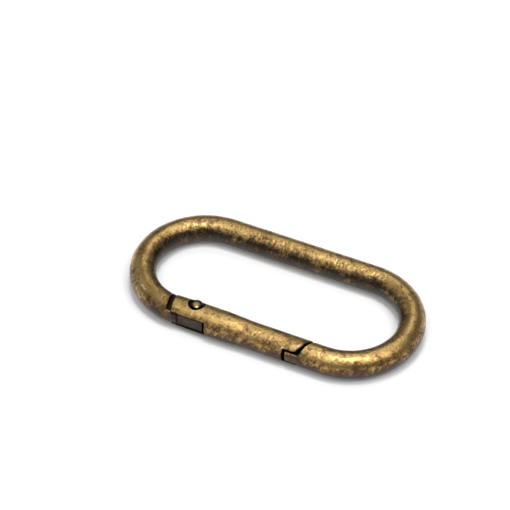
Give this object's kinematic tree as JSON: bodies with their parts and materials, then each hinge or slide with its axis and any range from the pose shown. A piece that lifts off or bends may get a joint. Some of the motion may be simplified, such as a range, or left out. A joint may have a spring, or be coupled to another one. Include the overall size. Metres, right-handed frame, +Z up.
{
  "type": "oval spring gate ring",
  "caption": "Oval ring of round metal wire, closed by a sprung gate that turns inwards on a riveted hinge and seats over a tongue at the far end.",
  "frame": {"origin": "centre of the ring's footprint, on the surface that it lies on", "axes": "+X along the oval from the hinge end to the latch end, +Y across it from the gate to the plain back bar, +Z up"},
  "size_m": [0.058, 0.0286, 0.0055],
  "materials": {
    "antique_brass_ring": "antique brass, brushed back over a dark patina",
    "antique_brass_gate": "antique brass, brushed back over a dark patina",
    "antique_brass_rivet": "antique brass, polished on the crown",
    "plunger_steel": "plain turned steel",
    "spring_steel": "drawn spring wire"
  },
  "bodies": {
    "ring": {"ring_body": "antique_brass_ring"},
    "gate": {"gate": "antique_brass_gate", "hinge_pin": "antique_brass_rivet", "gate_spring": "spring_steel"},
    "plunger": {"plunger": "plunger_steel"}
  },
  "joints": [
    {"name": "gate_hinge", "type": "hinge", "parent": "ring", "child": "gate", "pos_m": [-0.01092, -0.01105, 0.00278], "axis": [0, 0, 1], "range_deg": [0, 35], "stiffness_Nm_per_rad": 0.003, "springref_deg": -91.67},
    {"name": "plunger_slide", "type": "slide", "parent": "gate", "child": "plunger", "axis": [1, 0, 0], "range_m": [0, 0.00038], "deforming": ["gate_spring"]}
  ],
  "couplings": [
    {"joint": "plunger_slide", "follows": "gate_hinge", "m_per_rad": 0.0006}
  ]
}
